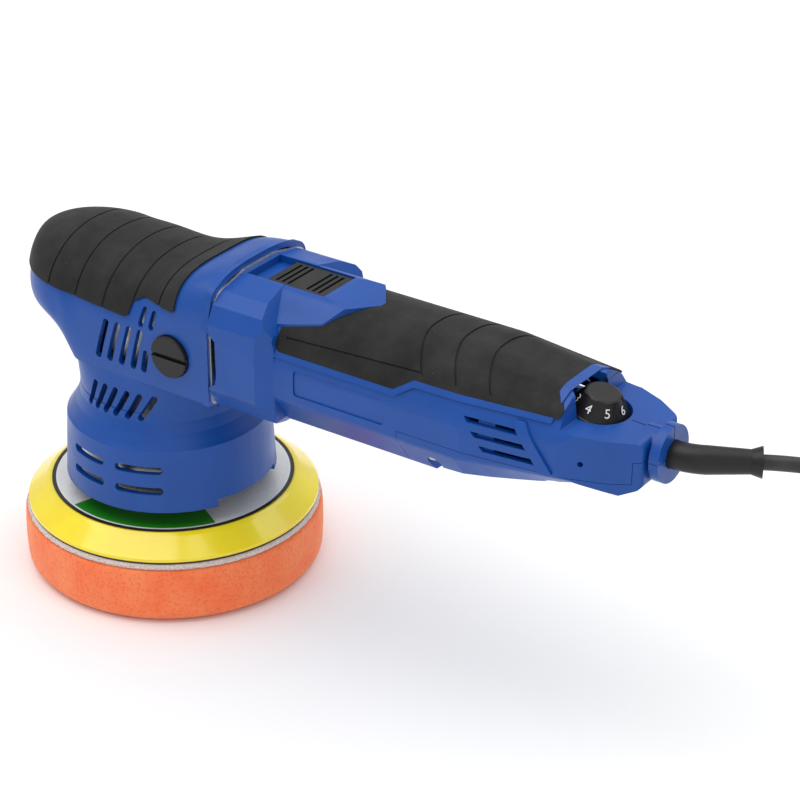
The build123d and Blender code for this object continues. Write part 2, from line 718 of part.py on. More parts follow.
# Counterweight: a thick half ring on the side away from the pad's axis
weight_r = 36.0
weight_z0, weight_z1 = hub_z0 + 3.0, cap_z1 - 3.0
weight = post(2 * weight_r, weight_z0, weight_z1) - pad_disc(hub_dia, weight_z0 - 1, weight_z1 + 1)
away = Rot(0, 0, orbit_heading)
weight -= away * Pos(50, 0, (weight_z0 + weight_z1) / 2) * Box(100, 100, 40)
weight -= away * box(-60, 10, -60, -26, 0, 200)
weight -= away * box(-60, 10, 26, 60, 0, 200)
keep("counterweight", weight)

lower_bearing_z = cap_z1 + 3.0
upper_bearing_z = motor_z + 13.0
upper_bearing_dia = 19.0
upper_shaft_dia = 8.0
crown_hub_z = motor_z - 18.0
spindle = post(shaft_dia, hub_z1 + 1, crown_hub_z + 5)
spindle += post(10.0, crown_hub_z + 4, motor_z + 12.6)
spindle += post(upper_shaft_dia, motor_z + 12, upper_bearing_z + 6.0)
spindle += post(shaft_dia + 4, lower_bearing_z + bearing_width, lower_bearing_z + bearing_width + 2)
keep("drive_spindle", spindle)
keep("spindle_bearing_lower",
     Pos(0, 0, lower_bearing_z) * bearing(bearing_dia, shaft_dia + 2 * running_gap, bearing_width))
keep("spindle_bearing_upper",
     Pos(0, 0, upper_bearing_z) * bearing(upper_bearing_dia, upper_shaft_dia + 2 * running_gap, 6.0))

# ------------------------------------------------------------------ bevel gears

crown_r = gear_module * crown_teeth / 2
pinion_r = gear_module * pinion_teeth / 2
face_share = 0.72
tooth_up = 0.8 * gear_module
tooth_down = 1.15 * gear_module
half_tooth = math.pi * gear_module / 4 - 0.16
flank = math.tan(math.radians(20))


def tooth(pitch_point, outward):
    """One straight bevel tooth that tapers towards the shafts' crossing point."""
    faces = []
    for share in (1.0, face_share):
        corners = []
        for rise, sign in ((-tooth_down - 0.4, -1), (tooth_up, -1), (tooth_up, 1), (-tooth_down - 0.4, 1)):
            half = half_tooth - rise * flank
            corners.append((pitch_point + outward * rise) * share + Vector(0, sign * half * share, 0))
        faces.append(make_face(Polyline(*corners, close=True)))
    return loft(faces, ruled=True)


cone = math.atan2(pinion_r, crown_r)
pitch_point = Vector(crown_r, 0, -pinion_r)
up_from_crown = Vector(math.sin(cone), 0, math.cos(cone))

root_r = crown_r - tooth_down * math.sin(cone)
root_h = -pinion_r - tooth_down * math.cos(cone)
crown = make_face(Polyline(
    (5.0, 0, root_h * face_share), (root_r * face_share, 0, root_h * face_share), (root_r, 0, root_h),
    (root_r, 0, root_h - 3), (9.5, 0, crown_hub_z + 5 - motor_z), (9.5, 0, crown_hub_z - motor_z),
    (5.0, 0, crown_hub_z - motor_z), close=True))
crown_gear = revolve(crown, Axis.Z)
for number in range(crown_teeth):
    angle = (number + 0.5) * 360 / crown_teeth
    crown_gear += Rot(0, 0, angle) * tooth(pitch_point, up_from_crown)
crown_gear -= Pos(0, 0, crown_hub_z + 4 - motor_z - 10) * Cylinder(shaft_dia / 2, 22)
crown_gear -= Pos(0, 0, -20) * Cylinder(5.0, 60)
keep("crown_gear", Pos(0, 0, motor_z) * crown_gear)

pinion_root_r = pinion_r - tooth_down
rotor_nose_dia = 7.0
blank = make_face(Polyline(
    (crown_r * face_share, 0, 0), (crown_r * face_share, 0, pinion_root_r * face_share), (crown_r, 0, pinion_root_r),
    (crown_r + 5, 0, pinion_root_r), (crown_r + 5, 0, 0), close=True))
pinion = revolve(blank, Axis.X)
pinion_up = Vector(-math.sin(cone), 0, -math.cos(cone))
for number in range(pinion_teeth):
    pinion += Rot(number * 360 / pinion_teeth, 0, 0) * tooth(pitch_point, pinion_up)
pinion -= Pos(crown_r, 0, 0) * Rot(0, 90, 0) * Cylinder(rotor_nose_dia / 2, 40)
keep("pinion", Pos(0, 0, motor_z) * pinion)

# ------------------------------------------------------------------ gear case

case_r = 28.0
case_cavity_r = 25.0
case_bottom = lower_bearing_z - 2.0
case_deck = crown_hub_z - 6.0
case_top = upper_bearing_z + 7.5
neck_bore_dia = 32.0
front_bearing_x = 36.0
front_bearing_width = 9.0
gear_case = post(bearing_dia + 10, case_bottom, case_deck)
gear_case += turned([
    (0, case_deck - 6), (bearing_dia / 2 + 5, case_deck - 6), (case_r, case_deck + 2),
    (case_r, motor_z + 10.5), (upper_bearing_dia / 2 + 4, case_top), (0, case_top),
])
gear_case += bar(neck_bore_dia + 8, 10, flange_x)
gear_case += end_prism(
    mirrored([(33.2, -16.4, 2), (33.2, 16, 4), (28.6, 30.4, 7), (10, 34.8, 20)]),
    flange_x, block_front_x - 0.05)
gear_case -= post(2 * case_cavity_r, crown_hub_z - 1.5, motor_z + 9.4)
gear_case -= bar(neck_bore_dia, 14, block_front_x + 1)
gear_case -= post(bearing_dia, case_bottom - 1, lower_bearing_z + bearing_width)
gear_case -= post(shaft_dia + 6, lower_bearing_z, crown_hub_z)
gear_case -= post(upper_bearing_dia, motor_z + 9, upper_bearing_z + 6.2)
for y, h in flange_screws_at:
    for side in (-1, 1):
        gear_case -= bar(flange_screw_dia + 0.4, flange_x - 1, block_front_x + 1, side * y, axis_z + h)
case_room = head_body(wall + 0.4) + post(60, case_bottom - 1, seam_z)
case_room += box(flange_x, block_front_x, -60, 60, seam_z, axis_z + 60)
keep("gear_case", gear_case & case_room)

# ------------------------------------------------------------------ motor

nose_x = crown_r * face_share
rear_shaft_dia = 8.0
tail_x = rear_bearing_x + rear_bearing_width + 3
keep("armature_shaft", bar(rotor_nose_dia, nose_x, crown_r + 6)
     + bar(shaft_dia, crown_r + 5, rear_bearing_x - 2) + bar(rear_shaft_dia, rear_bearing_x - 3, tail_x))
lie_along_x = Rot(0, 90, 0)
keep("armature_bearing_front", Pos(front_bearing_x, 0, motor_z) * lie_along_x
     * bearing(neck_bore_dia, shaft_dia + 2 * running_gap, front_bearing_width))
keep("armature_bearing_rear", Pos(rear_bearing_x, 0, motor_z) * lie_along_x
     * bearing(rear_bearing_dia, rear_shaft_dia + 2 * running_gap, rear_bearing_width))


def end_ring(outer, bore, x0, x1):
    return bar(outer, x0, x1) - bar(bore, x0 - 1, x1 + 1)


core_r = core_dia / 2
core = end_ring(core_dia, shaft_dia, core_front_x, core_rear_x)
slot_count = 12
middle_x = (core_front_x + core_rear_x) / 2
for number in range(slot_count):
    turn = Rot(number * 360 / slot_count, 0, 0)
    core -= Pos(middle_x, 0, motor_z) * turn * Pos(0, 0, core_r - 2.5) * Box(core_length + 2, 2.2, 7)
keep("armature_core", core)
winding_length = 9.0
for name, x0 in [("armature_winding_front", core_front_x - winding_length),
                 ("armature_winding_rear", core_rear_x)]:
    ring = end_ring(core_dia - 2.4, shaft_dia, x0, x0 + winding_length)
    outer_edges = ring.edges().filter_by(GeomType.CIRCLE).sort_by(SortBy.RADIUS)[-2:]
    keep(name, fillet(outer_edges, 3.0))

commutator = end_ring(commutator_dia, shaft_dia, commutator_x, commutator_x + commutator_length)
bar_count = 24
for number in range(bar_count):
    turn = Rot(number * 360 / bar_count, 0, 0)
    groove = Pos(brush_x, 0, motor_z) * turn * Pos(0, 0, commutator_dia / 2)
    commutator -= groove * Box(commutator_length + 2, 0.6, 1.2)
keep("commutator", commutator)

fan_x = 57.0
fan_depth = 11.0
blade_count = 14
fan = end_ring(fan_dia, shaft_dia, fan_x + fan_depth - 2, fan_x + fan_depth)
fan += end_ring(20, shaft_dia, fan_x, fan_x + fan_depth)
blade_reach = fan_dia / 2 - 9
for number in range(blade_count):
    turn = Rot(number * 360 / blade_count, 0, 0)
    blade = Pos(0, 0, 9 + blade_reach / 2) * Rot(0, 0, 20) * Box(fan_depth, 1.6, blade_reach)
    fan += Pos(fan_x + fan_depth / 2, 0, motor_z) * turn * blade
keep("fan", fan & end_ring(fan_dia, shaft_dia, fan_x, fan_x + fan_depth))

# Stator: round sides, flat top and bottom, with a field coil above and below the rotor
bore_r = core_r + air_gap
coil_bore_r = bore_r + 0.7
coil_outer_r = coil_bore_r + 3.3
arm_angle = 17.0


def arc_sector(r0, r1, x0, x1, a0, a1):
    """Part ring about the motor axis between two angles measured from +Y."""
    face = make_face(Polyline((x0, r0, 0), (x1, r0, 0), (x1, r1, 0), (x0, r1, 0), close=True))
    return Pos(0, 0, motor_z) * Rot(a0, 0, 0) * revolve(face, Axis.X, a1 - a0)


stator = stator_form - bar(2 * bore_r, core_front_x - 1, core_rear_x + 1)
for middle in (0, 180):
    stator -= arc_sector(bore_r - 1, coil_outer_r + 0.3, core_front_x - 1, core_rear_x + 1,
                         middle - arm_angle - 1, middle + arm_angle + 1)
keep("field_core", stator)
overhang = 7.0
coil_arc = 172.0
for name, start in [("field_coil_upper", 4.0), ("field_coil_lower", 184.0)]:
    front_end, rear_end = core_front_x - overhang, core_rear_x + overhang
    coil = arc_sector(coil_bore_r, coil_outer_r, front_end, core_front_x - 0.3, start, start + coil_arc)
    coil += arc_sector(coil_bore_r, coil_outer_r, core_rear_x + 0.3, rear_end, start, start + coil_arc)
    for edge in (start, start + coil_arc - arm_angle + 4):
        coil += arc_sector(coil_bore_r, coil_outer_r, front_end, rear_end, edge, edge + arm_angle - 4)
    keep(name, coil)

# Brushes bear on the commutator from both sides
for side, word in ((-1, "near"), (1, "far")):
    face_y, tail_y = side * (commutator_dia / 2 + 0.35), side * (brush_reach - 5)
    keep(f"brush_{word}", box(brush_x - 3, brush_x + 3, min(face_y, tail_y), max(face_y, tail_y),
                              motor_z - 4.5, motor_z + 4.5))
    mouth_y, end_y = side * (commutator_dia / 2 + 3.4), side * brush_reach
    holder = box(brush_x - holder_half, brush_x + holder_half, min(mouth_y, end_y),
                 max(mouth_y, end_y), motor_z - 6, motor_z + 6)
    holder -= box(brush_x - 3.1, brush_x + 3.1, min(mouth_y, end_y) - 9, max(mouth_y, end_y) + 9,
                  motor_z - 4.6, motor_z + 4.6)
    keep(f"brush_holder_{word}", holder)
    step = side * 0.6
    spring = make_face(Polyline(
        (brush_x - 2.5, tail_y, motor_z - 2), (brush_x + 2.5, tail_y, motor_z - 2),
        (brush_x + 2.5, tail_y + step, motor_z - 2), (brush_x - 1.9, tail_y + step, motor_z - 2),
        (brush_x - 1.9, end_y - step, motor_z - 2), (brush_x + 2.5, end_y - step, motor_z - 2),
        (brush_x + 2.5, end_y, motor_z - 2), (brush_x - 2.5, end_y, motor_z - 2), close=True))
    keep(f"brush_spring_{word}", extrude(spring, amount=4, dir=(0, 0, 1)))

# ------------------------------------------------------------------ switch and speed control

button_z = pocket_floor + 0.2
button_top = axis_z + 33.2
button = box(button_front_x, button_rear_x, -button_half, button_half, button_z, button_top)
button = fillet(button.edges().group_by(Axis.Z)[-1], 0.8)
rib_pitch = 2.9
for number in range(3):
    for x in (button_front_x + 3.2 + number * rib_pitch, button_rear_x - 4.6 - number * rib_pitch):
        button -= box(x, x + 1.3, -button_half + 2, button_half - 2, button_top - 0.8, button_top + 1)
keep("slide_button", button + box(arm_x, arm_x + arm_length, -arm_half, arm_half, rod_top, button_z + 0.5))
switch_x = 176.0
switch_length = 17.0
switch_bottom = axis_z + 17.6
pin_z = switch_bottom + 2.6
pin_depth = button_travel + 1
leg_x = 162.5
rod = box(arm_x, leg_x + 2, -2.5, 2.5, rod_bottom, rod_top)
rod += box(leg_x, leg_x + 2, -2.5, 2.5, pin_z, rod_bottom)
rod += box(leg_x, switch_x + pin_depth, -1.5, 1.5, pin_z, pin_z + 2)
keep("link_rod", rod)
switch = box(switch_x, switch_x + switch_length, -7, 7, switch_bottom, switch_bottom + 7.6)
keep("switch_body", switch - box(switch_x - 1, switch_x + pin_depth + 0.6, -1.8, 1.8,
                                 pin_z - 0.3, pin_z + 2.3))

dial_profile = [
    (0, -3.2), (dial_rim_dia / 2, -3.2), (dial_rim_dia / 2, -0.4), (dial_rim_dia / 2 - 0.6, 0.0),
    (dial_top_dia / 2, dial_height - 0.5), (dial_top_dia / 2 - 1, dial_height), (0, dial_height),
]
stem_reach = 10.2
dial = turned(dial_profile) + Pos(0, 0, -stem_reach / 2 - 1) * Cylinder(stem_dia / 2, stem_reach - 2)
mark_pitch = 45.0
flank_turn = math.degrees(math.atan2(dial_height, (dial_rim_dia - dial_top_dia) / 2))
for number in range(8):
    for step in (-1, 0, 1):
        angle = number * mark_pitch + 22.5 + step * 8
        groove = Rot(0, 0, angle) * Pos((dial_rim_dia + dial_top_dia) / 4, 0, dial_height / 2)
        dial -= groove * Rot(0, flank_turn, 0) * Box(8.6, 0.8, 1.0)
keep("speed_dial", dial_place * dial)
pot = Cylinder(8.0, 6.0) - Cylinder(stem_dia / 2 + running_gap, 8)
keep("speed_potentiometer", dial_place * Pos(0, 0, -stem_reach - 0.6) * pot)
board_top = board_z + 1.6
keep("speed_board", box(187, 229, -11, 11, board_z, board_top))
keep("board_capacitor", box(217.5, 227, -8, 8, board_top, board_top + 3.0))

# ------------------------------------------------------------------ socket plugs and screws

for side, word in ((-1, "near"), (1, "far")):
    seat_y = side * (boss_reach - seat_depth)
    face_y = side * (boss_reach - 0.5)
    shank_y = side * (boss_reach - seat_depth - insert_length + 1)
    plug = cross_bar(socket_dia, min(seat_y, face_y), max(seat_y, face_y), socket_x, axis_z)
    rims = plug.edges().filter_by(GeomType.CIRCLE).sort_by(Axis.Y)
    plug = fillet(rims[0] if side < 0 else rims[-1], 0.6)
    slot_y = side * (boss_reach - 1.9)
    slot = box(socket_x - 15, socket_x + 15, min(slot_y, side * 60), max(slot_y, side * 60), -0.9, 0.9)
    plug -= Pos(0, 0, axis_z) * slot
    thread_r = socket_thread_dia / 2
    plug += cross_bar(2 * thread_r - 0.1, min(seat_y, shank_y), max(seat_y, shank_y), socket_x, axis_z)
    keep(f"socket_plug_{word}", plug)
    deep_y = side * (boss_reach - seat_depth - insert_length)
    sleeve = cross_bar(insert_dia_brass - 0.04, min(seat_y, deep_y), max(seat_y, deep_y), socket_x, axis_z)
    sleeve -= cross_bar(2 * thread_r, min(seat_y, deep_y) - 1, max(seat_y, deep_y) + 1, socket_x, axis_z)
    keep(f"socket_insert_{word}", sleeve)

# ------------------------------------------------------------------ cord, guard and plug

guard_z = axis_z + collar_h
guard_lean = 30.0
guard_bend_r = 25.0
guard_straight = 20.0
bend_start_x = collar_x + 4.0
lean = math.radians(guard_lean)
bend_end = Vector(bend_start_x + guard_bend_r * math.sin(lean),
                  guard_bend_r * (1 - math.cos(lean)), guard_z)
heading = Vector(math.cos(lean), math.sin(lean), 0)
guard_tip = bend_end + heading * guard_straight
bend_face = Plane(origin=(bend_start_x, 0, guard_z), z_dir=(1, 0, 0)) * Circle(guard_dia / 2)
guard = revolve(bend_face, Axis((bend_start_x, guard_bend_r, guard_z), (0, 0, 1)), guard_lean)
tip_plane = Plane(origin=bend_end, z_dir=heading)
guard += tip_plane * Pos(0, 0, guard_straight / 2) * Cone(guard_dia / 2, guard_dia / 2 - 1.0, guard_straight)
ring_plane = Plane(origin=guard_tip - heading * 4.0, z_dir=heading)
guard += ring_plane * Pos(0, 0, 2.0) * Cone(guard_dia / 2 - 0.7, guard_dia / 2 + 0.6, 4.0)
guard_root_x = collar_x - 10.0
guard += bar(guard_dia, guard_root_x, bend_start_x, z=guard_z)
guard += bar(flange_dia, collar_x - 3.0, collar_x - 1.0, z=guard_z)
keep("cord_guard", guard)
clamp_x = guard_root_x + 1.5
clamp_reach = 9.0
clamp = box(clamp_x, clamp_x + 4, -clamp_reach, clamp_reach, guard_z - 7.9, guard_z)
keep("cord_clamp", clamp - bar(guard_dia, clamp_x - 1, clamp_x + 5, z=guard_z))

route = [
    (guard_tip.X, guard_tip.Y, guard_tip.Z),
    (guard_tip.X + 23 * heading.X, guard_tip.Y + 23 * heading.Y, guard_tip.Z),
    (311, 38, 113), (321, 49, 82), (327, 60, 48), (338, 76, 21), (361, 87, 3.2), (392.5, 81.5, 3.2),
]
corners = [Vector(*point) for point in route]
runs = [(b - a).length for a, b in zip(corners, corners[1:])]
radii = []
for before, at, after, run_in, run_out in zip(corners, corners[1:], corners[2:], runs, runs[1:]):
    turn = (at - before).get_angle(after - at)
    radii.append(0.45 * min(run_in, run_out) / math.tan(math.radians(turn / 2)))
print("cord bend radii", [round(radius, 1) for radius in radii])
cord_path = FilletPolyline(*route, radius=radii)
cord_start = Plane(origin=route[0], z_dir=heading) * Circle(cord_dia / 2)
cord_run = sweep(cord_start, path=cord_path)
section = math.pi * cord_dia ** 2 / 4
print("cord tube volume / section x length", cord_run.volume / (section * cord_path.length))
print("cord tube length", cord_path.length)
keep("cord_run", cord_run)

# The rest of the cord lies in a neat coil, three turns wide and three high
land = corners[-1]
entry = (corners[-1] - corners[-2]).normalized()
entry_r = coil_mean_dia / 2 + cord_dia
centre = land + Vector(entry.Y, -entry.X, 0) * entry_r
coil_in = coil_mean_dia / 2 - 1.5 * cord_dia
coil_out = coil_mean_dia / 2 + 1.5 * cord_dia
coil_height = 3 * cord_dia + 0.4
coil = post(2 * coil_out, 0, coil_height, centre.X, centre.Y)
coil -= post(2 * coil_in, -1, coil_height + 1, centre.X, centre.Y)
stub_plane = Plane(origin=land, z_dir=entry)
coil += stub_plane * Pos(0, 0, 8) * Cylinder(cord_dia / 2, 16)
coil -= stub_plane * Pos(0, 0, -16) * Cylinder(cord_dia / 2 + 1.5, 32)
keep("cord_coil", coil)

# Two-pin mains plug lying on the coil
plug_width, plug_thick, plug_length = 35.0, 18.0, 34.0
plug_chord = 22.0
plug_z = coil_height + plug_thick / 2
plug_turn = math.degrees(math.atan2(entry.Y, entry.X)) + 180
plug_place = Pos(centre.X, centre.Y, plug_z) * Rot(0, 0, plug_turn) * Pos(14, plug_chord, 0)
plug_outline = FilletPolyline((-16, -5.5, 0), (-4, -plug_width / 2, 0), (18, -plug_width / 2, 0),
                              (18, plug_width / 2, 0), (-4, plug_width / 2, 0), (-16, 5.5, 0),
                              radius=[1, 9, 1.5, 1.5, 9, 1], close=True)
plug_body = Pos(0, 0, -plug_thick / 2) * extrude(make_face(plug_outline), amount=plug_thick,
                                                 dir=(0, 0, 1))
plug_body += Pos(-20, 0, 0) * Rot(0, 90, 0) * Cylinder(5.0, 8)
keep("plug_body", plug_place * plug_body)
for side, word in ((-1, "a"), (1, "b")):
    pin = Pos(18 + pin_length / 2, side * pin_spacing / 2, 0) * Rot(0, 90, 0)
    keep(f"plug_pin_{word}", plug_place * pin * Cylinder(pin_dia / 2, pin_length))
print("guard tip", guard_tip, "coil centre", centre, "plug turn", plug_turn)
print("pad centre", offset_x, offset_y, "motor axis", axis_z)
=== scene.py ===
import json
import math
import random

import bmesh
import bpy
from mathutils import Matrix, Vector, noise


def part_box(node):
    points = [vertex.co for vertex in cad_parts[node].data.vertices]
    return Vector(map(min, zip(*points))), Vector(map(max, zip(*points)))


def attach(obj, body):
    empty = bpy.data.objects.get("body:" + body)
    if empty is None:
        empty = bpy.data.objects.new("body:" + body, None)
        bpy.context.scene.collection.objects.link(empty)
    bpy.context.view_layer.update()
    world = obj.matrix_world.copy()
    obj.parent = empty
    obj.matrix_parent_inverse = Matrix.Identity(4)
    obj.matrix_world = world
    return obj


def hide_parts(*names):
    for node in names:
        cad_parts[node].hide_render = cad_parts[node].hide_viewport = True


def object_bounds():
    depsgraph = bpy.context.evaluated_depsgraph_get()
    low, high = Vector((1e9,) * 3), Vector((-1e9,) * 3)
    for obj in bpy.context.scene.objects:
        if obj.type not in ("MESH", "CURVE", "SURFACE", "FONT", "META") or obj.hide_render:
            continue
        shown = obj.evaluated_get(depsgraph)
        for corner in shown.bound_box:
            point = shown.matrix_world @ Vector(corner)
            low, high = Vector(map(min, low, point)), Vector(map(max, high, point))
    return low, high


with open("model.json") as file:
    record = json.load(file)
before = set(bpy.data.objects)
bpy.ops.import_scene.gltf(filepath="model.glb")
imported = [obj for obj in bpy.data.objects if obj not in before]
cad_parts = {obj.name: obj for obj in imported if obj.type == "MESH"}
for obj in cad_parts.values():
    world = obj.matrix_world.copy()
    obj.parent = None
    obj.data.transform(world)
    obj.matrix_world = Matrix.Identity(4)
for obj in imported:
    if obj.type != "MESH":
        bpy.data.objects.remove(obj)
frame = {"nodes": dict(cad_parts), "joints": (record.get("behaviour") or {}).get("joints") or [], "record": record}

MM = 0.001
cad_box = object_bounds()
nodes = frame["nodes"]
joints = {joint["name"]: joint for joint in frame["joints"]}


# ---------------------------------------------------------------- camera

FLOOR = cad_box[0][2]
eye = Vector((0.64031, -0.74408, 0.59223))
target = Vector((0.10439, 0.02129, 0.09648))
camera_data = bpy.data.cameras.new("camera")
camera_data.sensor_width = 36.0
camera_data.lens = 117.4
camera_data.clip_start = 0.02
camera = bpy.data.objects.new("camera", camera_data)
bpy.context.scene.collection.objects.link(camera)
camera.location = eye
camera.rotation_euler = (target - eye).to_track_quat("-Z", "Y").to_euler()
bpy.context.scene.camera = camera


# ---------------------------------------------------------------- materials

class Look:
    """A principled material with helpers for its procedural detail, in object coordinates."""

    def __init__(self, name, colour, roughness, **shader):
        self.material = bpy.data.materials.new(name)
        self.material.use_nodes = True
        self.material.diffuse_color = (*colour, 1.0)
        self.tree = self.material.node_tree
        self.shader = self.tree.nodes["Principled BSDF"]
        self.shader.inputs["Base Color"].default_value = (*colour, 1.0)
        self.shader.inputs["Roughness"].default_value = roughness
        for label, value in shader.items():
            self.shader.inputs[label.replace("_", " ")].default_value = value
        self.coords = self.tree.nodes.new("ShaderNodeTexCoord").outputs["Object"]
        self.normal = None

    def link(self, source, sink):
        self.tree.links.new(source, sink)

    def noise(self, scale, detail=4.0, rough=0.55):
        node = self.tree.nodes.new("ShaderNodeTexNoise")
        node.inputs["Scale"].default_value = scale
        node.inputs["Detail"].default_value = detail
        node.inputs["Roughness"].default_value = rough
        self.link(self.coords, node.inputs["Vector"])
        return node.outputs["Fac"]

    def cells(self, scale, feature="F1"):
        node = self.tree.nodes.new("ShaderNodeTexVoronoi")
        node.feature = feature
        node.inputs["Scale"].default_value = scale
        self.link(self.coords, node.inputs["Vector"])
        return node.outputs["Distance"]

    def spread(self, value, low, high, to_low=0.0, to_high=1.0):
        node = self.tree.nodes.new("ShaderNodeMapRange")
        for label, amount in (("From Min", low), ("From Max", high),
                              ("To Min", to_low), ("To Max", to_high)):
            node.inputs[label].default_value = amount
        self.link(value, node.inputs["Value"])
        return node.outputs["Result"]

    def mix(self, share, first, second):
        """Colour mix; first and second are colours or sockets."""
        node = self.tree.nodes.new("ShaderNodeMix")
        node.data_type = "RGBA"
        self.link(share, node.inputs["Factor"])
        for colour, sink in ((first, node.inputs["A"]), (second, node.inputs["B"])):
            if isinstance(colour, tuple):
                sink.default_value = (*colour, 1.0)
            else:
                self.link(colour, sink)
        return node.outputs["Result"]

    def paint(self, colour):
        self.link(colour, self.shader.inputs["Base Color"])
        return self

    def rough(self, value):
        self.link(value, self.shader.inputs["Roughness"])
        return self

    def bump(self, height, strength, distance):
        node = self.tree.nodes.new("ShaderNodeBump")
        node.inputs["Strength"].default_value = strength
        node.inputs["Distance"].default_value = distance
        self.link(height, node.inputs["Height"])
        if self.normal:
            self.link(self.normal, node.inputs["Normal"])
        self.normal = node.outputs["Normal"]
        self.link(self.normal, self.shader.inputs["Normal"])
        return self

    def radius_and_angle(self, x, y):
        """Distance from a vertical axis, in metres, and direction round it, in degrees."""
        place = self.tree.nodes.new("ShaderNodeVectorMath")
        place.operation = "SUBTRACT"
        place.inputs[1].default_value = (x, y, 0)
        self.link(self.coords, place.inputs[0])
        flat = self.tree.nodes.new("ShaderNodeVectorMath")
        flat.operation = "MULTIPLY"
        flat.inputs[1].default_value = (1, 1, 0)
        self.link(place.outputs[0], flat.inputs[0])
        length = self.tree.nodes.new("ShaderNodeVectorMath")
        length.operation = "LENGTH"
        self.link(flat.outputs[0], length.inputs[0])
        parts = self.tree.nodes.new("ShaderNodeSeparateXYZ")
        self.link(flat.outputs[0], parts.inputs[0])
        turn = self.math("ARCTAN2", parts.outputs["Y"], parts.outputs["X"])
        return length.outputs["Value"], self.math("DEGREES", turn)

    def math(self, operation, first, second=None):
        node = self.tree.nodes.new("ShaderNodeMath")
        node.operation = operation
        for number, value in enumerate((first, second)):
            if isinstance(value, (int, float)):
                node.inputs[number].default_value = value
            elif value is not None:
                self.link(value, node.inputs[number])
        return node.outputs[0]

    def between(self, value, low, high):
        above = self.math("GREATER_THAN", value, low)
        below = self.math("LESS_THAN", value, high)
        return self.math("MULTIPLY", above, below)


def moulded(name, colour, roughness, grain=0.25, **shader):
    """Injection-moulded plastic: fine spark texture and faint handling marks."""
    look = Look(name, colour, roughness, **shader)
    wear = look.noise(38.0, 3.0)
    deep = tuple(0.88 * channel for channel in colour)
    look.paint(look.mix(look.spread(wear, 0.35, 0.7), colour, deep))
    look.rough(look.spread(look.noise(90.0, 5.0), 0.3, 0.7, roughness - 0.05, roughness + 0.09))
    look.bump(look.noise(2600.0, 2.0), grain, 0.00006)
    return look.material


def rubber(name):
    """Soft-touch rubber: dark, matte, with a fine pebble grain and pale dust specks."""
    base, worn = (0.008, 0.008, 0.0078), (0.016, 0.016, 0.0155)
    look = Look(name, base, 0.72, Specular_IOR_Level=0.25, Sheen_Weight=0.06, Sheen_Roughness=0.5)
    mottled = look.mix(look.spread(look.noise(46.0, 4.0), 0.38, 0.66), base, worn)
    specks = look.spread(look.cells(520.0), 0.05, 0.11, 1.0, 0.0)
    rare = look.spread(look.noise(210.0, 2.0), 0.60, 0.66)
    dust = look.math("MULTIPLY", specks, rare)
    look.paint(look.mix(look.math("MULTIPLY", dust, 0.5), mottled, (0.22, 0.22, 0.21)))
    look.rough(look.spread(look.noise(150.0, 4.0), 0.3, 0.7, 0.62, 0.82))
    look.bump(look.cells(1500.0), 0.35, 0.00012)
    return look.material


def foam(name):
    """Open-cell foam: orange, with pores at two sizes, painted shade in the pores and paler cut skin."""
    # the third colour is painted shade for the inside of the pores
    base, pale, pore_shade = (0.95, 0.175, 0.055), (0.97, 0.26, 0.10), (0.76, 0.105, 0.028)
    look = Look(name, base, 0.95, Specular_IOR_Level=0.15, Sheen_Weight=0.35, Sheen_Roughness=0.6,
                Subsurface_Weight=0.12, Subsurface_Scale=0.004)
    look.shader.inputs["Sheen Tint"].default_value = (1.0, 0.72, 0.55, 1.0)
    coarse, fine = look.cells(620.0), look.cells(1500.0)
    skin = look.mix(look.spread(look.noise(70.0, 5.0), 0.35, 0.68), base, pale)
    # painted shade: the pores, sunk by the coarse bump below, are coloured darker
    pore_shade_mask = look.spread(coarse, 0.12, 0.42, 1.0, 0.0)
    look.paint(look.mix(look.math("MULTIPLY", pore_shade_mask, 0.55), skin, pore_shade))
    look.bump(fine, 0.5, 0.0003)
    look.bump(coarse, 0.7, 0.0006)
    return look.material


def pile(name):
    """Brushed loop pile, off-white with a warm tint, with painted shade in the hollows between strands and a
    painted highlight on their tops.
    """
    look = Look(name, (0.80, 0.72, 0.68), 0.95, Specular_IOR_Level=0.1, Sheen_Weight=0.7,
                Sheen_Roughness=0.5)
    strands = look.noise(1900.0, 4.0, 0.7)
    # painted shade and highlight: the colour follows the strands' bump height, darker in the hollows and paler on
    # the tops
    look.paint(look.mix(look.spread(strands, 0.35, 0.65), (0.58, 0.42, 0.37), (0.90, 0.84, 0.81)))
    look.bump(strands, 0.9, 0.0005)
    return look.material


def urethane(name):
    """Glossy yellow plate: wet-looking skin with faint flow marks."""
    base = (0.95, 0.78, 0.012)
    look = Look(name, base, 0.16, Coat_Weight=0.45, Coat_Roughness=0.06,
                Subsurface_Weight=0.08, Subsurface_Scale=0.003)
    look.paint(look.mix(look.spread(look.noise(28.0, 3.0), 0.35, 0.7), base, (0.88, 0.66, 0.008)))
    look.rough(look.spread(look.noise(60.0, 4.0), 0.3, 0.7, 0.12, 0.26))
    look.bump(look.noise(420.0, 3.0), 0.12, 0.0002)
    return look.material


def printed_film(name, x, y, outer, bore):
    """Silver film with a green sector, and fine printed rings at its edges."""
    look = Look(name, (0.66, 0.67, 0.68), 0.35, Metallic=0.25)
    radius, angle = look.radius_and_angle(x, y)
    silver = look.mix(look.spread(look.noise(900.0, 2.0), 0.4, 0.6), (0.74, 0.75, 0.75),
                      (0.82, 0.83, 0.83))
    sector_start, sector_end = -108.0, -30.0
    white_r, black_r = outer - 2.6 * MM, outer - 1.7 * MM
    sector = look.between(angle, sector_start, sector_end)
    inside = look.between(radius, bore + 3.5 * MM, white_r)
    printed = look.mix(look.math("MULTIPLY", sector, inside), silver, (0.012, 0.25, 0.008))
    white = look.between(radius, white_r, black_r)
    ringed = look.mix(white, printed, (0.82, 0.82, 0.82))
    black = look.between(radius, black_r, outer + 1.0 * MM)
    look.paint(look.mix(black, ringed, (0.015, 0.015, 0.015)))
    look.bump(look.noise(700.0, 2.0), 0.08, 0.0001)
    return look.material


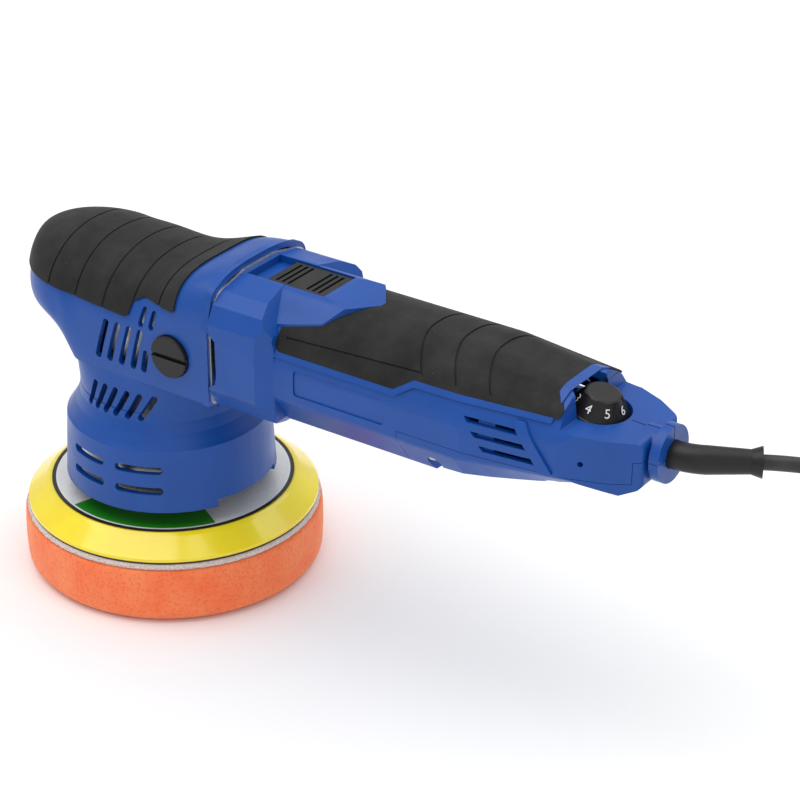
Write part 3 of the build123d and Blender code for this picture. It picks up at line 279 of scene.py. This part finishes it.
def metal(name, colour, roughness, streak=(40.0, 40.0, 900.0)):
    """Turned or ground metal with fine streaks."""
    look = Look(name, colour, roughness, Metallic=1.0)
    stretch = look.tree.nodes.new("ShaderNodeMapping")
    stretch.inputs["Scale"].default_value = streak
    look.link(look.coords, stretch.inputs["Vector"])
    lines = look.tree.nodes.new("ShaderNodeTexNoise")
    lines.inputs["Scale"].default_value = 3.0
    look.link(stretch.outputs[0], lines.inputs["Vector"])
    look.rough(look.spread(lines.outputs["Fac"], 0.3, 0.7, roughness - 0.08, roughness + 0.12))
    dull = tuple(0.8 * channel for channel in colour)
    look.paint(look.mix(look.spread(look.noise(60.0, 4.0), 0.4, 0.7), colour, dull))
    look.bump(lines.outputs["Fac"], 0.1, 0.00005)
    return look.material


def wound_wire(name):
    """Enamelled copper wire laid side by side round the motor's axis, with painted shade in the grooves between
    the wires and a painted highlight along their crests.
    """
    look = Look(name, (0.50, 0.17, 0.055), 0.3, Metallic=0.9, Coat_Weight=0.6, Coat_Roughness=0.1)
    strands = look.tree.nodes.new("ShaderNodeTexWave")
    strands.inputs["Scale"].default_value = 320.0
    strands.inputs["Distortion"].default_value = 1.5
    look.link(look.coords, strands.inputs["Vector"])
    # painted shade and highlight: the colour follows the wires' bump height, dark in the grooves and bright on the
    # crests
    look.paint(look.mix(strands.outputs["Fac"], (0.22, 0.06, 0.02), (0.62, 0.24, 0.08)))
    look.bump(strands.outputs["Fac"], 0.6, 0.0003)
    return look.material


def circuit_board(name):
    """Green solder mask over paler copper tracks."""
    look = Look(name, (0.01, 0.12, 0.04), 0.35, Coat_Weight=0.4)
    tracks = look.spread(look.cells(260.0, "DISTANCE_TO_EDGE"), 0.03, 0.06, 1.0, 0.0)
    look.paint(look.mix(tracks, (0.01, 0.12, 0.04), (0.03, 0.25, 0.08)))
    look.bump(tracks, 0.3, 0.00005)
    return look.material


def sheath(name):
    """Satin cord sheath with faint lengthwise drag marks and dust."""
    look = Look(name, (0.013, 0.013, 0.014), 0.42)
    look.paint(look.mix(look.spread(look.noise(110.0, 4.0), 0.4, 0.7), (0.013, 0.013, 0.014),
                        (0.026, 0.026, 0.027)))
    look.rough(look.spread(look.noise(240.0, 4.0), 0.3, 0.7, 0.36, 0.55))
    look.bump(look.noise(1400.0, 3.0), 0.2, 0.00008)
    return look.material


pad_low, pad_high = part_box("backing_plate")
pad_x, pad_y = (pad_low.x + pad_high.x) / 2, (pad_low.y + pad_high.y) / 2
label_low, label_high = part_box("plate_label")
label_r = (label_high.x - label_low.x) / 2
label_bore_r = 22 * MM

BLUE = (0.004, 0.066, 0.33)
looks = {
    "shell_blue": moulded("shell_blue", BLUE, 0.34, 0.3, Specular_IOR_Level=0.35),
    "grip_rubber": rubber("grip_rubber"),
    "foam_orange": foam("foam_orange"),
    "loop_pale": pile("loop_pale"),
    "hook_dark": moulded("hook_dark", (0.05, 0.028, 0.022), 0.6, 0.5),
    "plate_yellow": urethane("plate_yellow"),
    "label_silver": printed_film("label_silver", pad_x, pad_y, label_r, label_bore_r),
    "black_plastic": moulded("black_plastic", (0.008, 0.008, 0.0085), 0.40, 0.4,
                             Specular_IOR_Level=0.35),
    "steel": metal("steel", (0.50, 0.51, 0.53), 0.32),
    "alloy": metal("alloy", (0.62, 0.63, 0.64), 0.42, (200.0, 200.0, 200.0)),
    "copper": wound_wire("copper"),
    "brass": metal("brass", (0.60, 0.42, 0.14), 0.3),
    "carbon": moulded("carbon", (0.02, 0.02, 0.022), 0.6, 0.8),
    "board_green": circuit_board("board_green"),
    "cord_rubber": sheath("cord_rubber"),
    "plated": metal("plated", (0.72, 0.72, 0.74), 0.16),
}
slot_of = {part["node"]: part["material_slot"] for part in frame["record"]["subparts"]}


for name, node in nodes.items():
    node.data.materials.clear()
    node.data.materials.append(looks[slot_of[name]])


# ---------------------------------------------------------------- pieces

def add(name, mesh, slot, body):
    """A new piece from a mesh, with the material of its slot, attached to its body."""
    piece = bpy.data.objects.new(name, mesh)
    bpy.context.scene.collection.objects.link(piece)
    mesh.materials.append(looks[slot])
    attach(piece, body)
    return piece


def lathe(name, profile, x, y, segments, shift=None):
    """Closed ring surface about a vertical axis from (radius, height) points, ends on the axis."""
    form = bmesh.new()
    rings = []
    for radius, height in profile:
        if radius < 1e-6:
            rings.append([form.verts.new((x, y, height))])
            continue
        ring = []
        for step in range(segments):
            turn = 2 * math.pi * step / segments
            point = Vector((x + radius * math.cos(turn), y + radius * math.sin(turn), height))
            ring.append(form.verts.new(shift(point) if shift else point))
        rings.append(ring)
    for low, high in zip(rings, rings[1:]):
        for step in range(segments):
            after = (step + 1) % segments
            if len(low) == 1:
                corners = (low[0], high[after], high[step])
            elif len(high) == 1:
                corners = (low[step], low[after], high[0])
            else:
                corners = (low[step], low[after], high[after], high[step])
            form.faces.new(corners)
    bmesh.ops.recalc_face_normals(form, faces=form.faces)
    for face in form.faces:
        face.smooth = True
    mesh = bpy.data.meshes.new(name)
    form.to_mesh(mesh)
    form.free()
    return mesh


def foam_disc():
    """The foam pad: cut sides a little uneven, lower edge rounded."""
    low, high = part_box("foam_pad")
    radius = (high.x - low.x) / 2 - 0.5 * MM
    edge = 6 * MM
    top, face = high.z, low.z + 0.02 * MM
    profile = [(0.0, face)]
    for share in (0.25, 0.5, 0.75, 1.0):
        profile.append(((radius - edge) * share, face))
    edge_steps = 8
    for step in range(1, edge_steps + 1):
        turn = math.radians(90 * step / edge_steps)
        profile.append((radius - edge + edge * math.sin(turn), low.z + edge - edge * math.cos(turn)))
    rows = 22
    for step in range(1, rows):
        share = step / rows
        bulge = 0.35 * MM * math.sin(math.pi * share)
        profile.append((radius + bulge, low.z + edge + (top - low.z - edge) * share))
    profile += [(radius - 0.4 * MM, top), (radius * 0.5, top), (0.0, top)]
    axis = Vector((pad_x, pad_y, 0))

    def uneven(point):
        out = point - axis
        out.z = 0
        if out.length < radius - 2.5 * MM:
            return point
        swell = 0.16 * MM * noise.noise(point * 55) + 0.14 * MM * noise.noise(point * 700)
        return point + out.normalized() * swell

    return lathe("foam_disc", profile, pad_x, pad_y, 420, uneven)


foam_piece = add("foam_disc", foam_disc(), "foam_orange", "pad")
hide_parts("foam_pad")


def loop_pile():
    """The pile layer: a soft-edged disc whose rim is teased out in short strands."""
    low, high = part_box("loop_layer")
    radius = (high.x - low.x) / 2 - 0.9 * MM
    middle, half = (low.z + high.z) / 2, (high.z - low.z) / 2
    profile = [(0.0, low.z + 0.01 * MM), (radius - half, low.z + 0.01 * MM)]
    for step in range(1, 12):
        turn = math.pi * step / 12
        profile.append((radius - half + half * math.sin(turn), middle - half * math.cos(turn)))
    profile += [(radius - half, high.z - 0.01 * MM), (0.0, high.z - 0.01 * MM)]
    axis = Vector((pad_x, pad_y, 0))

    def teased(point):
        out = point - axis
        out.z = 0
        if out.length < radius - 2 * half:
            return point
        stray = 0.45 * MM * noise.noise(point * 900) + 0.25 * MM * noise.noise(point * 2300)
        return point + out.normalized() * stray

    return lathe("loop_pile", profile, pad_x, pad_y, 720, teased)


pile_piece = add("loop_pile", loop_pile(), "loop_pale", "pad")
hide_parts("loop_layer")


def pile_strands():
    """Loose strands that stand out of the pile's rim, each a thin three-sided spike."""
    low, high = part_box("loop_layer")
    radius = (high.x - low.x) / 2 - 1.6 * MM
    picker = random.Random(4)
    form = bmesh.new()
    for _ in range(2600):
        turn = picker.uniform(0, 2 * math.pi)
        out = Vector((math.cos(turn), math.sin(turn), 0))
        side = Vector((-out.y, out.x, 0))
        root = Vector((pad_x, pad_y, picker.uniform(low.z + 0.3 * MM, high.z - 0.3 * MM)))
        root += out * radius
        lean = side * picker.uniform(-0.5, 0.5) + Vector((0, 0, picker.uniform(-0.35, 0.35)))
        tip = root + (out + lean).normalized() * picker.uniform(0.9, 1.5) * MM
        tip.z = min(max(tip.z, low.z + 0.1 * MM), high.z - 0.1 * MM)
        width = 0.05 * MM
        base = [form.verts.new(root + side * width), form.verts.new(root - side * width),
                form.verts.new(root + Vector((0, 0, 1.6 * width)))]
        point = form.verts.new(tip)
        form.faces.new(base)
        for first, second in zip(base, base[1:] + base[:1]):
            form.faces.new((second, first, point))
    bmesh.ops.recalc_face_normals(form, faces=form.faces)
    mesh = bpy.data.meshes.new("pile_strands")
    form.to_mesh(mesh)
    form.free()
    return mesh


add("pile_strands", pile_strands(), "loop_pale", "pad")


# ---------------------------------------------------------------- dial numbers

def dial_numbers():
    """Numbers 1 to 6, laid on the dial's sloping side and turned to read from outside."""
    hinge = joints["dial_turn"]
    origin = Vector(hinge["pos_m"])
    axis = Vector(hinge["axis"]).normalized()
    lean = Matrix.Translation(origin) @ Vector((0, 0, 1)).rotation_difference(axis).to_matrix().to_4x4()
    rim_r, top_r, height = 11.7 * MM, 7.2 * MM, 7.4 * MM
    slope = math.atan2(height, rim_r - top_r)
    face_r, face_z = (rim_r + top_r) / 2, height / 2
    number_step, proud = 45, 0.03 * MM
    form = bmesh.new()
    for number in range(1, 7):
        curve = bpy.data.curves.new(f"figure_{number}", "FONT")
        curve.body = str(number)
        curve.size = 5.0 * MM
        curve.align_x = "CENTER"
        curve.align_y = "CENTER"
        curve.extrude = 0.06 * MM
        figure = bpy.data.objects.new(f"figure_{number}", curve)
        bpy.context.scene.collection.objects.link(figure)
        bpy.context.view_layer.update()
        outline = bpy.data.meshes.new_from_object(figure)
        turn = -math.radians(number_step * (6 - number))
        stand = Matrix.Rotation(turn, 4, "Z") @ Matrix.Translation((face_r + proud, 0, face_z))
        stand = stand @ Matrix.Rotation(math.pi / 2, 4, "Z") @ Matrix.Rotation(slope, 4, "X")
        outline.transform(lean @ stand)
        form.from_mesh(outline)
        bpy.data.objects.remove(figure)
    mesh = bpy.data.meshes.new("dial_numbers")
    form.to_mesh(mesh)
    form.free()
    return mesh


looks["dial_white"] = moulded("dial_white", (0.85, 0.85, 0.84), 0.5, 0.1)
numbers = bpy.data.objects.new("dial_numbers", dial_numbers())
bpy.context.scene.collection.objects.link(numbers)
numbers.data.materials.append(looks["dial_white"])
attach(numbers, "dial")


# ---------------------------------------------------------------- cord

CORD = 6 * MM
route = [
    (271.821, 13.349, 125.1), (291.74, 24.849, 125.1), (311, 38, 113), (321, 49, 82),
    (327, 60, 48), (338, 76, 21), (361, 87, 3.2), (392.5, 81.5, 3.2),
]
coil_centre = Vector((385.792, 43.081, 0.0))
coil_mean, pitch, layer_rise, first_layer = 33.0, 6.05, 6.05, 3.2
spline_swell = 1.026  # the spline cuts inside its control points, so they stand out by this much
plug_heading = Vector((-0.985097, 0.172001, 0.0))
plug_ahead, plug_aside, plug_tail, plug_height = 14.0, 22.0, 24.0, 27.4


def coil_turns():
    """Turns laid clockwise beside and on each other: in, out and in again over three layers."""
    points = []
    rings = [1, 0, -1, -1, 0, 1, 1, 0]
    steps, last_steps, crossing = 16, 4, 5
    start = 66.0
    for turn, ring in enumerate(rings):
        layer = turn // 3
        last = turn == len(rings) - 1
        following = ring if last else rings[turn + 1]
        next_layer = layer if last else (turn + 1) // 3
        for step in range(last_steps if last else steps):
            share = max(0.0, (step - steps + crossing) / crossing)
            lane = ring + (following - ring) * share
            level = layer + (next_layer - layer) * share
            radius = (coil_mean + lane * pitch) * spline_swell
            angle = math.radians(start - 360 * step / steps)
            points.append((coil_centre.x + radius * math.cos(angle),
                           coil_centre.y + radius * math.sin(angle),
                           first_layer + level * layer_rise))
    return points


plug_left = Vector((-plug_heading.y, plug_heading.x, 0.0))
tail = coil_centre + plug_heading * (plug_ahead - plug_tail) + plug_left * plug_aside
tail.z = plug_height


def beside_tail(back, over, height):
    """A point behind the plug's tail and to its left, at a height above the floor."""
    point = tail - plug_heading * back + plug_left * over
    return (point.x, point.y, height)


ending = [beside_tail(23.5, -15, 18.0), beside_tail(16, -3, 22.5), beside_tail(7, 0, 26.6),
          beside_tail(0, 0, plug_height)]
cord_points = [Vector(point) * MM for point in route + coil_turns() + ending]
cord_curve = bpy.data.curves.new("mains_cord", "CURVE")
cord_curve.dimensions = "3D"
cord_curve.bevel_depth = CORD / 2
cord_curve.bevel_resolution = 6
cord_curve.resolution_u = 10
cord_curve.use_fill_caps = True
spline = cord_curve.splines.new("NURBS")
spline.points.add(len(cord_points) - 1)
for place, point in zip(spline.points, cord_points):
    place.co = (*point, 1.0)
spline.order_u = 3
spline.use_endpoint_u = True
cord = bpy.data.objects.new("mains_cord", cord_curve)
bpy.context.scene.collection.objects.link(cord)
cord_curve.materials.append(looks["cord_rubber"])
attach(cord, "housing")
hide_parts("cord_run", "cord_coil")


# ---------------------------------------------------------------- floor and light

def plain(name, colour, roughness):
    """A matte surface whose roughness varies a little."""
    look = Look(name, colour, roughness)
    look.rough(look.spread(look.noise(8.0), 0.3, 0.7, roughness - 0.04, roughness + 0.04))
    return look.material


floor_mesh = bpy.data.meshes.new("floor")
floor_z, reach = FLOOR - 0.0001, 6
floor_mesh.from_pydata([(-reach, -reach, floor_z), (reach, -reach, floor_z),
                        (reach, reach, floor_z), (-reach, reach, floor_z)], [], [(0, 1, 2, 3)])
floor = bpy.data.objects.new("floor", floor_mesh)
floor_mesh.materials.append(plain("floor", (0.93, 0.93, 0.93), 0.6))
bpy.context.scene.collection.objects.link(floor)


def lamp(name, place, aim, size, power):
    """A square soft lamp, aimed at a point."""
    data = bpy.data.lights.new(name, "AREA")
    data.size = size
    data.energy = power
    light = bpy.data.objects.new(name, data)
    light.location = place
    light.rotation_euler = (Vector(aim) - Vector(place)).to_track_quat("-Z", "Y").to_euler()
    bpy.context.scene.collection.objects.link(light)


middle = (0.1, 0.0, 0.08)
lamp("key", (-0.5, -0.5, 1.9), middle, 1.6, 17.0)
lamp("top", (0.5, 0.7, 1.8), middle, 2.0, 15.0)
lamp("fill", (1.4, -1.5, 0.9), middle, 1.8, 3.5)

world = bpy.data.worlds.new("studio")
bpy.context.scene.world = world
world.use_nodes = True
background = world.node_tree.nodes["Background"]
background.inputs["Color"].default_value = (1.0, 1.0, 1.0, 1.0)
background.inputs["Strength"].default_value = 0.68
bpy.context.scene.view_settings.view_transform = "Standard"
